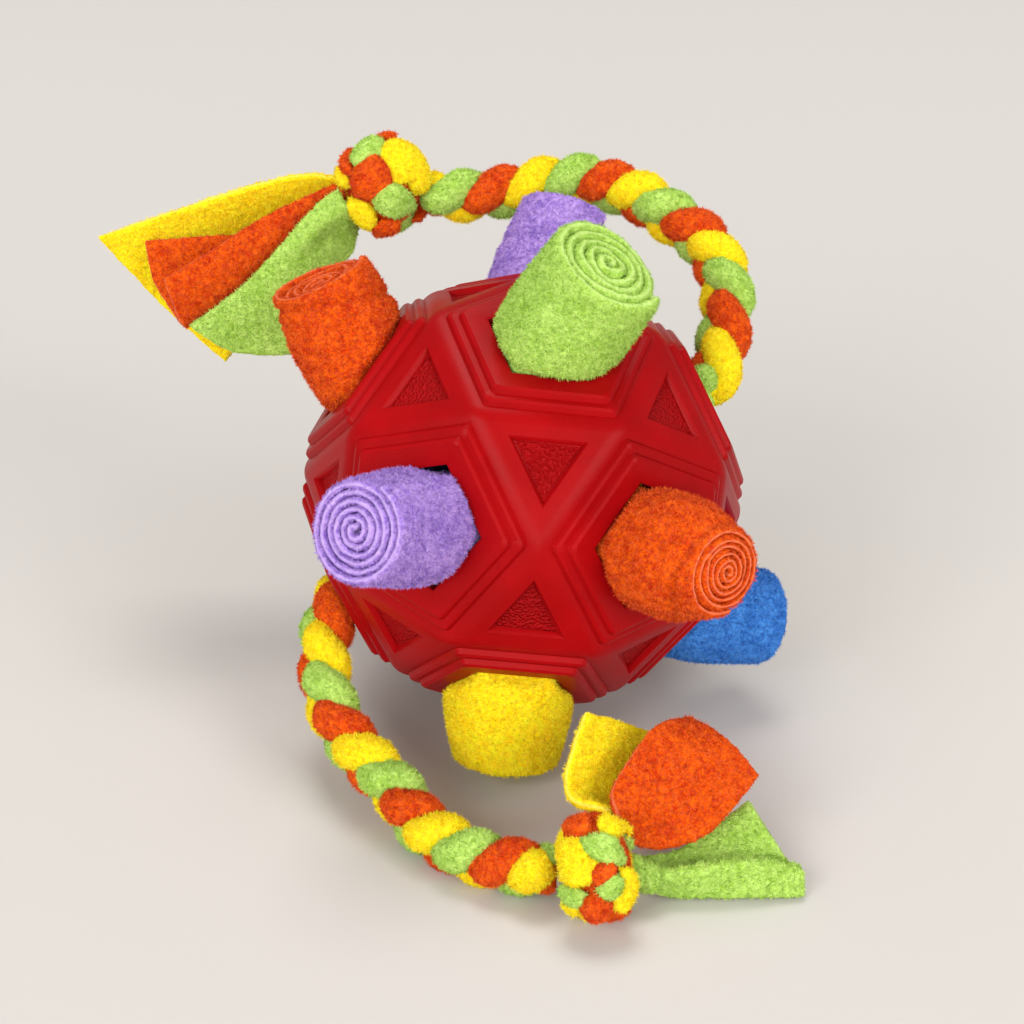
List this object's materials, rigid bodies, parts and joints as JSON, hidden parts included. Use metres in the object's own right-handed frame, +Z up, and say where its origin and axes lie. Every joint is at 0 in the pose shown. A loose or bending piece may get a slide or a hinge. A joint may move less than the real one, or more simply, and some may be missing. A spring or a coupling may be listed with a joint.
{
  "type": "dog snuffle ball",
  "caption": "Hollow rubber dog ball with rolled fleece strips wedged in its holes and a plaited fleece rope through it, knotted at both ends.",
  "frame": {"origin": "middle of the base of the box around the ball and its rolls, on the surface it rests on", "axes": "+Z up; +Y away from the side with the purple and orange rolls; +X to the right of that side"},
  "size_m": [0.2112, 0.2176, 0.1565],
  "materials": {
    "rubber_red": "satin, with grained triangles",
    "fleece_yellow": "fuzzy pile",
    "fleece_orange": "fuzzy pile",
    "fleece_green": "fuzzy pile",
    "fleece_purple": "fuzzy pile",
    "fleece_blue": "fuzzy pile"
  },
  "bodies": {
    "root": {"ball_shell": "rubber_red", "roll_purple_left": "fleece_purple", "roll_green_top": "fleece_green", "roll_orange_right": "fleece_orange", "roll_yellow_bottom": "fleece_yellow", "roll_orange_left": "fleece_orange", "roll_purple_back": "fleece_purple", "roll_blue_right": "fleece_blue", "roll_green_bottom": "fleece_green", "roll_yellow_back": "fleece_yellow", "roll_blue_back": "fleece_blue", "rope": "fleece_orange", "knot_upper": "fleece_yellow", "knot_lower": "fleece_yellow", "tail_upper_yellow": "fleece_yellow", "tail_upper_orange": "fleece_orange", "tail_upper_green": "fleece_green", "tail_lower_yellow": "fleece_yellow", "tail_lower_orange": "fleece_orange", "tail_lower_green": "fleece_green"}
  },
  "joints": []
}
